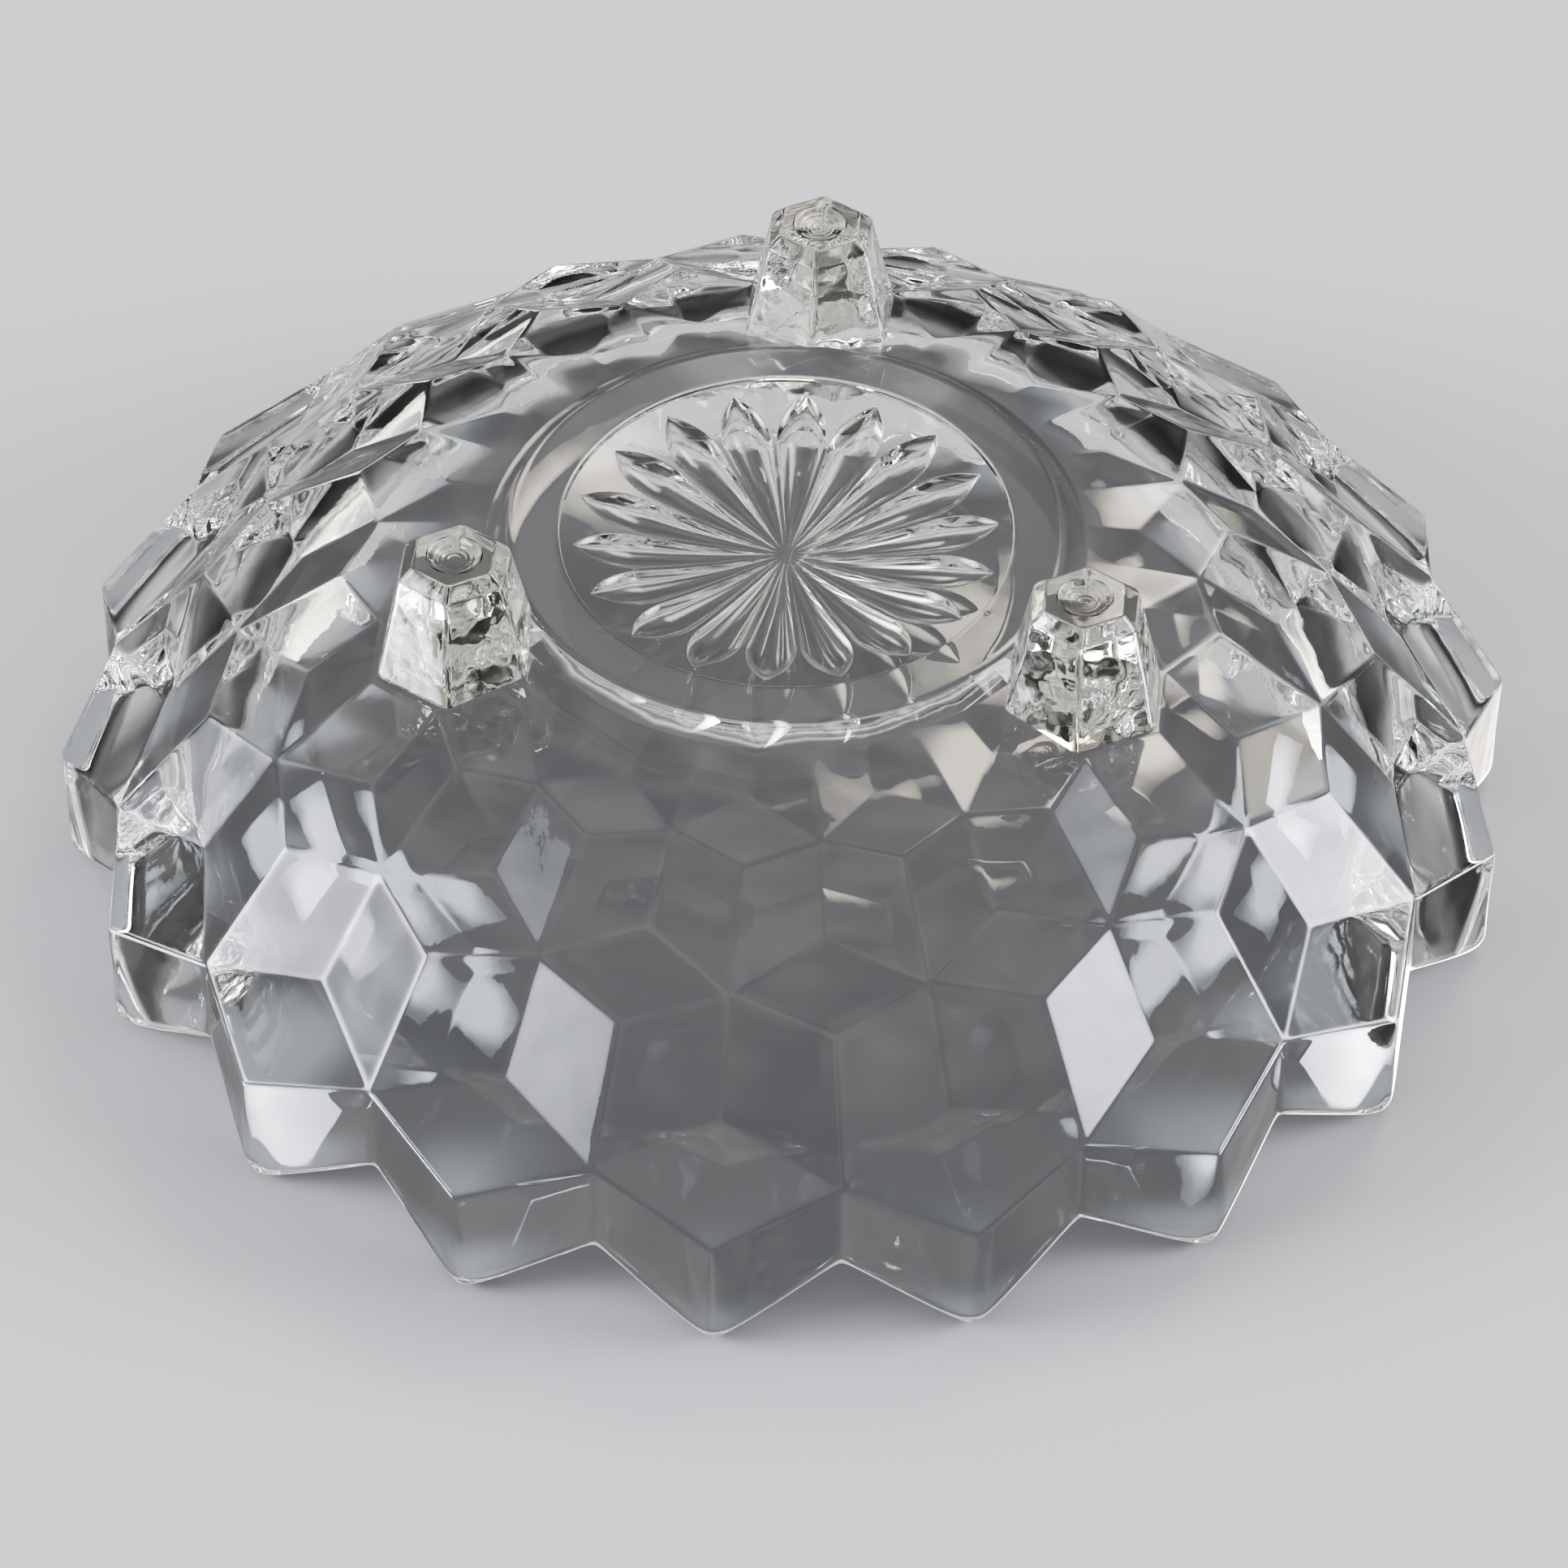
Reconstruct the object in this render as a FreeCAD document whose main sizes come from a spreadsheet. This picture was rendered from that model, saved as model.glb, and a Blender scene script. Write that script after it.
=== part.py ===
import FreeCAD, Part
import Sketcher
import math
import os
from FreeCAD import Vector

# Pressed glass candy dish: a shallow flared bowl with stacked-cube facets outside and a
# plain inside, a zigzag rim, a dished base medallion with cut rays, and three hexagonal toes.
# Own frame: millimetres, +Z up through the open mouth, origin on the table under the centre
# of the three toes. +X points at one rim point. Every other cube row sits under a rim point.

SIZES = [
    ("dish_height", 60.0, "table to the rim points"),
    ("rim_radius", 89.0, "axis to a rim point"),
    ("rim_notch_depth", 5.8, "how far a notch steps in from the rim radius"),
    ("rim_notch_drop", 7.5, "rim point down to the bottom of a notch"),
    ("rim_points", 18, "points round the rim, cube columns and rays"),
    # Corners of the cube rows. A front corner stands proud, a back corner is sunk, and the
    # side corners are shared by neighbouring cubes. An inset is measured in from the rim radius,
    # so the cubes keep their size and follow the rim.
    ("upper_front_height", 43.0, "upper row, front corner, straight below a rim point"),
    ("upper_side_height", 38.7, "upper row, side corners, straight below a notch"),
    ("upper_back_inset", 13.0, "upper row, back corner"),
    ("middle_front_inset", 17.6, "middle row, front corner"),
    ("middle_side_inset", 22.6, "middle row, side corners"),
    ("middle_side_height", 24.0, "middle row, side corners"),
    ("middle_back_inset", 29.9, "middle row, back corner"),
    ("lower_front_inset", 35.1, "lower row, front corner"),
    ("lower_side_inset", 39.2, "lower row, side corners"),
    ("lower_side_height", 15.4, "lower row, side corners"),
    ("lower_back_inset", 46.4, "lower row, back corner"),
    ("skirt_radius", 34.5, "where the last facets pass under the base ring"),
    ("skirt_height", 13.2, "height of the flat underside inside the facets"),
    # Inside of the bowl
    ("floor_radius", 36.0, "flat inside floor"),
    ("floor_height", 20.0, "table to the inside floor"),
    ("wall_arc_radius", 44.0, "curve from the floor up into the wall"),
    ("rim_wall", 5.29, "glass from the inside wall out to a rim point, measured level"),
    # Base ring and medallion
    ("ring_radius", 33.4, "outer edge of the base ring"),
    ("ring_foot_radius", 35.4, "base ring where its slope meets the facets"),
    ("ring_height", 11.9, "table to the flat of the base ring"),
    ("ring_root_height", 14.0, "top of the base ring's sloping side"),
    ("medallion_radius", 27.2, "edge of the medallion"),
    ("medallion_edge_height", 12.4, "table to the medallion's edge"),
    ("centre_wall", 3.94, "glass between the middle of the medallion's hollow and the floor"),
    ("medallion_cover", 2.3, "bowl glass between the medallion's back and the floor"),
    ("ray_start_radius", 1.2, "inner end of a ray"),
    ("ray_wide_radius", 18.8, "widest place of a ray"),
    ("ray_tip_radius", 25.6, "outer tip of a ray"),
    ("ray_depth", 0.95, "depth of a ray at its widest place"),
    ("ray_width", 6.0, "width of a ray at its widest place"),
    # Toes
    ("toe_count", 3, "toes, evenly spaced"),
    ("toe_circle_radius", 42.8, "axis of the dish to the axis of a toe"),
    ("toe_end_radius", 5.4, "corner radius of the end face"),
    ("toe_chamfer_radius", 7.2, "corner radius above the end chamfer"),
    ("toe_chamfer_height", 1.6, "height of the end chamfer"),
    ("toe_root_radius", 12.1, "corner radius at the root, inside the wall"),
    ("toe_root_height", 23.0, "table to the root of a toe"),
    ("dimple_radius", 3.1, "edge of the shallow dimple in the end face"),
    ("dimple_depth", 0.8, "depth of the dimple"),
]

doc = FreeCAD.newDocument("CandyDish")

sheet = doc.addObject("Spreadsheet::Sheet", "Sizes")
for row, (alias, value, note) in enumerate(SIZES, start=1):
    sheet.set("A%d" % row, alias)
    sheet.set("B%d" % row, str(value))
    sheet.set("C%d" % row, note)
    sheet.setAlias("B%d" % row, alias)
doc.recompute()


def size(alias):
    """A sheet value as a float."""
    return float(sheet.get(alias))


# ---------------------------------------------------------------- faceted outside of the bowl

COLUMNS = int(size("rim_points"))
PITCH = 2 * math.pi / COLUMNS


def spot(radius, height, column):
    """Point at a radius and height in a column; whole columns lie under the rim points."""
    return Vector(radius * math.cos(column * PITCH), radius * math.sin(column * PITCH), height)


def level_with(a, b, c, radius, column):
    """Height at a radius and column of the plane through three points."""
    normal = (b - a).cross(c - a)
    flat = spot(radius, 0, column)
    return a.z - (normal.x * (flat.x - a.x) + normal.y * (flat.y - a.y)) / normal.z


def facet(*points):
    return Part.Face(Part.makePolygon(list(points) + [points[0]]))


def ring_of(radius, height, half):
    """One corner ring: a function of the column, whole columns or the ones between."""
    return lambda column: spot(radius, height, column + (0.5 if half else 0.0))


def faceted_blank():
    """Solid outside shape: star-shaped band, three rows of cubes, flat underside."""
    rim_r = size("rim_radius")
    notch_r = rim_r - size("rim_notch_depth")
    top = size("dish_height")
    up_front = (rim_r, size("upper_front_height"))
    up_side = (notch_r, size("upper_side_height"))
    mid_side = (rim_r - size("middle_side_inset"), size("middle_side_height"))
    low_side = (rim_r - size("lower_side_inset"), size("lower_side_height"))

    # Every cube face is flat, so each back corner and each lower front corner takes its
    # height from the plane of the three corners before it.
    def settled(radius, column, *three):
        return radius, level_with(*[spot(r, z, c) for (r, z), c in three], radius, column)

    up_back = settled(rim_r - size("upper_back_inset"), 0, (up_front, 0), (up_side, .5), (up_side, -.5))
    mid_front = settled(rim_r - size("middle_front_inset"), .5, (up_back, 0), (up_side, .5), (mid_side, 0))
    mid_back = settled(rim_r - size("middle_back_inset"), .5, (mid_front, .5), (mid_side, 0), (mid_side, 1))
    low_front = settled(rim_r - size("lower_front_inset"), 0, (mid_back, .5), (mid_side, 0), (low_side, .5))
    low_back = settled(rim_r - size("lower_back_inset"), 0, (low_front, 0), (low_side, .5), (low_side, -.5))

    # The skirt is level. Below a back corner its radius is where the facet's plane gets there.
    skirt_z = size("skirt_height")
    skirt_half = (size("skirt_radius"), skirt_z)
    a, b, c = spot(*low_back, 0), spot(*low_side, .5), spot(*skirt_half, .5)
    normal = (b - a).cross(c - a)
    skirt_whole = (a.x - normal.z * (skirt_z - a.z) / normal.x, skirt_z)

    tip, notch = ring_of(rim_r, top, False), ring_of(notch_r, top - size("rim_notch_drop"), True)
    rings = {
        "up_front": (up_front, False), "up_side": (up_side, True), "up_back": (up_back, False),
        "mid_front": (mid_front, True), "mid_side": (mid_side, False), "mid_back": (mid_back, True),
        "low_front": (low_front, False), "low_side": (low_side, True), "low_back": (low_back, False),
        "skirt_half": (skirt_half, True), "skirt_whole": (skirt_whole, False),
    }
    at = {name: ring_of(r, z, half) for name, ((r, z), half) in rings.items()}
    crown = Vector(0, 0, top)  # the flats on top of the rim all aim at this point

    faces, skirt = [], []
    for i in range(COLUMNS):
        # For each half column: the whole column i and the half column beside it, each side.
        for half in (i, i - 1):
            faces.append(facet(tip(i), notch(half), crown))
            faces.append(facet(at["up_front"](i), at["up_side"](half), notch(half), tip(i)))
            faces.append(facet(at["up_side"](half), at["mid_front"](half), at["mid_side"](i),
                               at["up_back"](i)))
            faces.append(facet(at["mid_side"](i), at["low_front"](i), at["low_side"](half),
                               at["mid_back"](half)))
            faces.append(facet(at["low_side"](half), at["skirt_half"](half), at["skirt_whole"](i),
                               at["low_back"](i)))
        # The tops of the cubes: wide rhombi that look down and out.
        faces.append(facet(at["up_front"](i), at["up_side"](i), at["up_back"](i), at["up_side"](i - 1)))
        faces.append(facet(at["mid_front"](i), at["mid_side"](i + 1), at["mid_back"](i),
                           at["mid_side"](i)))
        faces.append(facet(at["low_front"](i), at["low_side"](i), at["low_back"](i),
                           at["low_side"](i - 1)))
        skirt += [at["skirt_whole"](i), at["skirt_half"](i)]
    faces.append(facet(*skirt))

    shell = Part.makeShell(faces)
    shell.sewShape()
    solid = Part.Solid(shell)
    if solid.Volume < 0:
        solid.reverse()
    if not solid.isValid() or not solid.isClosed():
        raise RuntimeError("the faceted blank did not close")
    return solid


blank = doc.addObject("Part::Feature", "FacetedBlank")
blank.Shape = faceted_blank()
blank.Placement = FreeCAD.Placement()


# ---------------------------------------------------------------- sketch helpers

def origin_plane(body, role):
    return next(f for f in body.Origin.OriginFeatures if f.Role == role)


def new_sketch(body, name, role="XZ_Plane"):
    sketch = body.newObject("Sketcher::SketchObject", name)
    sketch.AttachmentSupport = [(origin_plane(body, role), "")]
    sketch.MapMode = "FlatFace"
    return sketch


def pin(sketch, line, end, x, y):
    """Hold one end of a line at an (x, y) given as sheet expressions; None is on the axis."""
    for kind, expression in (("DistanceX", x), ("DistanceY", y)):
        if expression is None:
            sketch.addConstraint(Sketcher.Constraint("PointOnObject", line, end,
                                                     -2 if kind == "DistanceX" else -1))
            continue
        value = getattr(sketch.getPoint(line, end), "x" if kind == "DistanceX" else "y")
        index = sketch.addConstraint(Sketcher.Constraint(kind, -1, 1, line, end, value))
        sketch.setExpression("Constraints[%d]" % index, expression)


def outline(sketch, corners):
    """Closed outline of straight lines. A corner is (x, y, x expression, y expression)."""
    count = len(corners)
    points = [Vector(c[0], c[1], 0) for c in corners]
    lines = [sketch.addGeometry(Part.LineSegment(points[i], points[(i + 1) % count]), False)
             for i in range(count)]
    for i in range(count):
        sketch.addConstraint(Sketcher.Constraint("Coincident", lines[i], 2, lines[(i + 1) % count], 1))
    for line, corner in zip(lines, corners):
        pin(sketch, line, 1, corner[2], corner[3])
    return lines


def corner(x, y):
    """Corner from two sheet aliases; None is on the axis."""
    return (0.0 if x is None else size(x), 0.0 if y is None else size(y),
            None if x is None else "Sizes." + x, None if y is None else "Sizes." + y)


def revolve(body, sketch, name, kind="PartDesign::Revolution", axis="V_Axis"):
    feature = body.newObject(kind, name)
    feature.Profile = sketch
    feature.ReferenceAxis = (sketch, [axis])
    feature.Angle = 360.0
    sketch.Visibility = False
    return feature


# ---------------------------------------------------------------- inside of the bowl

hollow = doc.addObject("PartDesign::Body", "Hollow")
sk = new_sketch(hollow, "HollowSketch")
floor_r, floor_z = size("floor_radius"), size("floor_height")
arc_r, open_z = size("wall_arc_radius"), size("dish_height") + 10.0
# The straight wall runs from the arc, tangent to it, through a point just inside the rim.
aim = Vector(size("rim_radius") - size("rim_wall"), size("dish_height"), 0)
arc_centre = Vector(floor_r, floor_z + arc_r, 0)
reach = (aim - arc_centre).Length
flare = math.pi / 2 + math.atan2(aim.y - arc_centre.y, aim.x - arc_centre.x) - math.acos(arc_r / reach)
arc_end = Vector(floor_r + arc_r * math.sin(flare), floor_z + arc_r * (1 - math.cos(flare)), 0)
mouth = Vector(arc_end.x + (open_z - arc_end.y) / math.tan(flare), open_z, 0)
floor_line = sk.addGeometry(Part.LineSegment(Vector(0, floor_z, 0), Vector(floor_r, floor_z, 0)), False)
wall_arc = sk.addGeometry(Part.ArcOfCircle(
    Part.Circle(Vector(floor_r, floor_z + arc_r, 0), Vector(0, 0, 1), arc_r),
    -math.pi / 2, -math.pi / 2 + flare), False)
wall_line = sk.addGeometry(Part.LineSegment(arc_end, mouth), False)
mouth_line = sk.addGeometry(Part.LineSegment(mouth, Vector(0, open_z, 0)), False)
axis_line = sk.addGeometry(Part.LineSegment(Vector(0, open_z, 0), Vector(0, floor_z, 0)), False)
aim_point = sk.addGeometry(Part.Point(aim), True)
for first, end, second, start in ((wall_line, 2, mouth_line, 1), (mouth_line, 2, axis_line, 1),
                                  (axis_line, 2, floor_line, 1)):
    sk.addConstraint(Sketcher.Constraint("Coincident", first, end, second, start))
sk.addConstraint(Sketcher.Constraint("Tangent", floor_line, 2, wall_arc, 1))
sk.addConstraint(Sketcher.Constraint("Tangent", wall_arc, 2, wall_line, 1))
sk.addConstraint(Sketcher.Constraint("Horizontal", floor_line))
sk.addConstraint(Sketcher.Constraint("Horizontal", mouth_line))
sk.addConstraint(Sketcher.Constraint("PointOnObject", floor_line, 1, -2))
sk.addConstraint(Sketcher.Constraint("PointOnObject", mouth_line, 2, -2))
sk.addConstraint(Sketcher.Constraint("PointOnObject", aim_point, 1, wall_line))
for constraint, expression in (
        (Sketcher.Constraint("DistanceY", -1, 1, floor_line, 1, floor_z), "Sizes.floor_height"),
        (Sketcher.Constraint("DistanceX", -1, 1, floor_line, 2, floor_r), "Sizes.floor_radius"),
        (Sketcher.Constraint("Radius", wall_arc, arc_r), "Sizes.wall_arc_radius"),
        (Sketcher.Constraint("DistanceY", -1, 1, mouth_line, 2, open_z), "Sizes.dish_height + 10"),
        (Sketcher.Constraint("DistanceX", -1, 1, aim_point, 1, aim.x),
         "Sizes.rim_radius - Sizes.rim_wall"),
        (Sketcher.Constraint("DistanceY", -1, 1, aim_point, 1, aim.y), "Sizes.dish_height")):
    sk.setExpression("Constraints[%d]" % sk.addConstraint(constraint), expression)
revolve(hollow, sk, "HollowRevolution")


# ---------------------------------------------------------------- base ring and medallion seat

ring = doc.addObject("PartDesign::Body", "BaseRing")
sk = new_sketch(ring, "BaseRingSketch")
outline(sk, [corner(None, "ring_height"), corner("ring_radius", "ring_height"),
             corner("ring_foot_radius", "ring_root_height"), corner(None, "ring_root_height")])
revolve(ring, sk, "BaseRingRevolution")

seat = doc.addObject("PartDesign::Body", "MedallionSeat")
sk = new_sketch(seat, "MedallionSeatSketch")
edge_r, edge_z = size("medallion_radius"), size("medallion_edge_height")
back_z = floor_z - size("medallion_cover")
BACK = "Sizes.floor_height - Sizes.medallion_cover"
outline(sk, [(0, 5, None, "Sizes.ring_height - 5"),
             (edge_r, 5, "Sizes.medallion_radius", "Sizes.ring_height - 5"),
             (edge_r, back_z, "Sizes.medallion_radius", BACK),
             (0, back_z, None, BACK)])
revolve(seat, sk, "MedallionSeatRevolution")

outside = doc.addObject("Part::MultiFuse", "DishOutside")
outside.Shapes = [blank, ring]

empty = doc.addObject("Part::MultiFuse", "DishEmpty")
empty.Shapes = [hollow, seat]

bowl = doc.addObject("Part::Cut", "Bowl")
bowl.Base = outside
bowl.Tool = empty
bowl.Label = "bowl"


# ---------------------------------------------------------------- base medallion with rays

medallion = doc.addObject("PartDesign::Body", "Medallion")
medallion.Label = "base_medallion"
sk = new_sketch(medallion, "MedallionSketch")
centre_z = floor_z - size("centre_wall")
hollow_depth = centre_z - edge_z
dish_r = (edge_r ** 2 + hollow_depth ** 2) / (2 * hollow_depth)
dish_z = centre_z - dish_r
spread = math.asin(edge_r / dish_r)
face_arc = sk.addGeometry(Part.ArcOfCircle(
    Part.Circle(Vector(0, dish_z, 0), Vector(0, 0, 1), dish_r),
    math.pi / 2 - spread, math.pi / 2), False)
edge_line = sk.addGeometry(Part.LineSegment(Vector(edge_r, edge_z, 0), Vector(edge_r, back_z, 0)), False)
back_line = sk.addGeometry(Part.LineSegment(Vector(edge_r, back_z, 0), Vector(0, back_z, 0)), False)
core_line = sk.addGeometry(Part.LineSegment(Vector(0, back_z, 0), Vector(0, centre_z, 0)), False)
for first, end, second, start in ((face_arc, 1, edge_line, 1), (edge_line, 2, back_line, 1),
                                  (back_line, 2, core_line, 1), (core_line, 2, face_arc, 2)):
    sk.addConstraint(Sketcher.Constraint("Coincident", first, end, second, start))
sk.addConstraint(Sketcher.Constraint("PointOnObject", face_arc, 3, -2))
sk.addConstraint(Sketcher.Constraint("PointOnObject", back_line, 2, -2))
sk.addConstraint(Sketcher.Constraint("PointOnObject", face_arc, 2, -2))
sk.addConstraint(Sketcher.Constraint("Horizontal", back_line))
sk.addConstraint(Sketcher.Constraint("Vertical", edge_line))
for constraint, expression in (
        (Sketcher.Constraint("DistanceY", -1, 1, core_line, 2, centre_z),
         "Sizes.floor_height - Sizes.centre_wall"),
        (Sketcher.Constraint("DistanceX", -1, 1, edge_line, 1, edge_r), "Sizes.medallion_radius"),
        (Sketcher.Constraint("DistanceY", -1, 1, edge_line, 1, edge_z), "Sizes.medallion_edge_height"),
        (Sketcher.Constraint("DistanceY", -1, 1, back_line, 2, back_z), BACK)):
    sk.setExpression("Constraints[%d]" % sk.addConstraint(constraint), expression)
revolve(medallion, sk, "MedallionRevolution")
doc.recompute()
plain_volume = medallion.Shape.Volume

# A ray is a long cone and a short cone, end to end, about a line just under the hollow face,
# so it is a groove that widens outward and ends in a point.
CENTRE = "(Sizes.floor_height - Sizes.centre_wall)"
HOLLOW_DEPTH = "(%s - Sizes.medallion_edge_height)" % CENTRE
DISH_R = "((Sizes.medallion_radius ^ 2 + %s ^ 2) / (2 * %s))" % (HOLLOW_DEPTH, HOLLOW_DEPTH)
FACE_AT = CENTRE + " - " + DISH_R + " + sqrt(" + DISH_R + " ^ 2 - Sizes.%s ^ 2)"
RAY_BELLY = "((Sizes.ray_width / 2) ^ 2 + Sizes.ray_depth ^ 2) / (2 * Sizes.ray_depth)"
sk = new_sketch(medallion, "RaySketch")


def face_height(alias):
    return dish_z + math.sqrt(dish_r ** 2 - size(alias) ** 2)


sink = ((size("ray_width") / 2) ** 2 + size("ray_depth") ** 2) / (2 * size("ray_depth")) \
    - size("ray_depth")
SINK = "(%s - Sizes.ray_depth)" % RAY_BELLY
ray_corners = [
    (size("ray_start_radius"), face_height("ray_start_radius") - sink,
     "Sizes.ray_start_radius", FACE_AT % "ray_start_radius" + " - " + SINK),
    (size("ray_start_radius"), face_height("ray_start_radius"),
     "Sizes.ray_start_radius", FACE_AT % "ray_start_radius"),
    (size("ray_wide_radius"), face_height("ray_wide_radius") + size("ray_depth"),
     "Sizes.ray_wide_radius", FACE_AT % "ray_wide_radius" + " + Sizes.ray_depth"),
    (size("ray_tip_radius"), face_height("ray_tip_radius"),
     "Sizes.ray_tip_radius", FACE_AT % "ray_tip_radius"),
    (size("ray_tip_radius"), face_height("ray_tip_radius") - sink,
     "Sizes.ray_tip_radius", FACE_AT % "ray_tip_radius" + " - " + SINK)]
ray_lines = outline(sk, ray_corners)
groove = medallion.newObject("PartDesign::Groove", "RayGroove")
groove.Profile = sk
axis_geometry = sk.addGeometry(Part.LineSegment(Vector(*ray_corners[4][:2], 0),
                                                Vector(*ray_corners[0][:2], 0)), True)
sk.addConstraint(Sketcher.Constraint("Coincident", axis_geometry, 1, ray_lines[4], 1))
sk.addConstraint(Sketcher.Constraint("Coincident", axis_geometry, 2, ray_lines[0], 1))
groove.ReferenceAxis = (sk, ["Axis0"])
groove.Angle = 360.0
doc.recompute()
if medallion.Shape.Volume > plain_volume - 5.0:
    raise RuntimeError("the first ray cuts nothing")
rays = medallion.newObject("PartDesign::PolarPattern", "RayPattern")
rays.Originals = [groove]
rays.Axis = (next(f for f in medallion.Origin.OriginFeatures if f.Role == "Z_Axis"), [""])
rays.Angle = 360.0
rays.setExpression("Occurrences", "Sizes.rim_points")
medallion.Tip = rays


# ---------------------------------------------------------------- toes

def hexagon(body, name, radius_alias, height_expression):
    """Hexagon sketch with one corner pointing away from the dish's axis."""
    sketch = new_sketch(body, name, "XY_Plane")
    radius = size(radius_alias)
    corners = [Vector(radius * math.cos(k * math.pi / 3), radius * math.sin(k * math.pi / 3), 0)
               for k in range(6)]
    for k in range(6):
        sketch.addGeometry(Part.LineSegment(corners[k], corners[(k + 1) % 6]), False)
    for k in range(6):
        sketch.addConstraint(Sketcher.Constraint("Coincident", k, 2, (k + 1) % 6, 1))
    guide = sketch.addGeometry(Part.Circle(Vector(0, 0, 0), Vector(0, 0, 1), radius), True)
    sketch.addConstraint(Sketcher.Constraint("Coincident", guide, 3, -1, 1))
    for k in range(6):
        sketch.addConstraint(Sketcher.Constraint("PointOnObject", k, 1, guide))
    for k in range(1, 6):
        sketch.addConstraint(Sketcher.Constraint("Equal", 0, k))
    sketch.addConstraint(Sketcher.Constraint("PointOnObject", 0, 1, -1))
    index = sketch.addConstraint(Sketcher.Constraint("Radius", guide, radius))
    sketch.setExpression("Constraints[%d]" % index, "Sizes." + radius_alias)
    sketch.setExpression("AttachmentOffset.Base.z", height_expression)
    return sketch


def toe(number):
    """Tapered hexagonal toe with a chamfered, dimpled end, cut to sit on the bowl's facets."""
    body = doc.addObject("PartDesign::Body", "ToeBody%d" % number)
    sections = [hexagon(body, "ToeEnd%d" % number, "toe_end_radius", "0"),
                hexagon(body, "ToeChamfer%d" % number, "toe_chamfer_radius",
                        "Sizes.toe_chamfer_height"),
                hexagon(body, "ToeRoot%d" % number, "toe_root_radius", "Sizes.toe_root_height")]
    doc.recompute()
    loft = body.newObject("PartDesign::AdditiveLoft", "ToeLoft%d" % number)
    loft.Profile = sections[0]
    loft.Sections = sections[1:]
    loft.Ruled = True
    doc.recompute()
    solid_volume = body.Shape.Volume
    sketch = new_sketch(body, "DimpleSketch%d" % number)
    rim, depth = size("dimple_radius"), size("dimple_depth")
    ball = (rim ** 2 + depth ** 2) / (2 * depth)
    arc = sketch.addGeometry(Part.ArcOfCircle(
        Part.Circle(Vector(0, depth - ball, 0), Vector(0, 0, 1), ball),
        math.pi / 2 - math.asin(rim / ball), math.pi / 2), False)
    base = sketch.addGeometry(Part.LineSegment(Vector(0, 0, 0), Vector(rim, 0, 0)), False)
    core = sketch.addGeometry(Part.LineSegment(Vector(0, depth, 0), Vector(0, 0, 0)), False)
    sketch.addConstraint(Sketcher.Constraint("Coincident", base, 2, arc, 1))
    sketch.addConstraint(Sketcher.Constraint("Coincident", arc, 2, core, 1))
    sketch.addConstraint(Sketcher.Constraint("Coincident", core, 2, base, 1))
    sketch.addConstraint(Sketcher.Constraint("Coincident", base, 1, -1, 1))
    sketch.addConstraint(Sketcher.Constraint("Horizontal", base))
    sketch.addConstraint(Sketcher.Constraint("Vertical", core))
    sketch.addConstraint(Sketcher.Constraint("PointOnObject", arc, 3, -2))
    for constraint, expression in (
            (Sketcher.Constraint("DistanceX", -1, 1, base, 2, rim), "Sizes.dimple_radius"),
            (Sketcher.Constraint("DistanceY", -1, 1, core, 1, depth), "Sizes.dimple_depth")):
        sketch.setExpression("Constraints[%d]" % sketch.addConstraint(constraint), expression)
    dimple = revolve(body, sketch, "Dimple%d" % number, "PartDesign::Groove")
    doc.recompute()
    if body.Shape.Volume > solid_volume - 1.0:
        raise RuntimeError("the dimple of toe %d cuts nothing" % number)
    body.Tip = dimple

    # A toe stands under a rim point's column, a third of a turn from the next.
    turn = "(%d * 360 / Sizes.toe_count)" % (number - 1)
    body.setExpression("Placement.Base.x", "Sizes.toe_circle_radius * cos(%s * 1 deg)" % turn)
    body.setExpression("Placement.Base.y", "Sizes.toe_circle_radius * sin(%s * 1 deg)" % turn)
    body.setExpression("Placement.Rotation.Angle", "%s * 1 deg" % turn)
    body.Placement.Rotation = FreeCAD.Rotation(Vector(0, 0, 1), 120.0 * (number - 1))

    fitted = doc.addObject("Part::Cut", "Toe%d" % number)
    fitted.Base = body
    fitted.Tool = outside
    fitted.Label = "toe_%d" % number
    return fitted


toes = [toe(number) for number in range(1, int(size("toe_count")) + 1)]
doc.recompute()


# ---------------------------------------------------------------- checks and export

for obj in doc.Objects:
    if "Invalid" in obj.State or "Error" in obj.State:
        raise RuntimeError("%s (%s) failed: %s" % (obj.Name, obj.Label, obj.State))

nodes = [bowl, medallion] + toes
for node in nodes:
    shape = node.Shape
    if shape.isNull() or not shape.isValid() or len(shape.Solids) != 1:
        raise RuntimeError("%s is not one valid solid" % node.Label)

os.makedirs("parts", exist_ok=True)
for node in nodes:
    node.Shape.exportStep(os.path.join("parts", node.Label + ".step"))
    box = node.Shape.BoundBox
    print("%s  %.1f cm3  x %.1f..%.1f  y %.1f..%.1f  z %.1f..%.1f" % (
        node.Label, node.Shape.Volume / 1000, box.XMin, box.XMax, box.YMin, box.YMax,
        box.ZMin, box.ZMax))
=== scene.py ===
"""Footed candy dish of clear pressed glass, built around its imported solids.

The five pieces are open shells that meet edge to edge. Together they are one closed glass surface, as
the real dish is one pressing, so there is no glass face hidden inside the glass.
Lengths are millimetres while a shape is worked out and metres once it is a mesh.
"""
import math

import bmesh
import bpy
import numpy as np
from mathutils import Matrix, Vector
from mathutils.bvhtree import BVHTree


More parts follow.
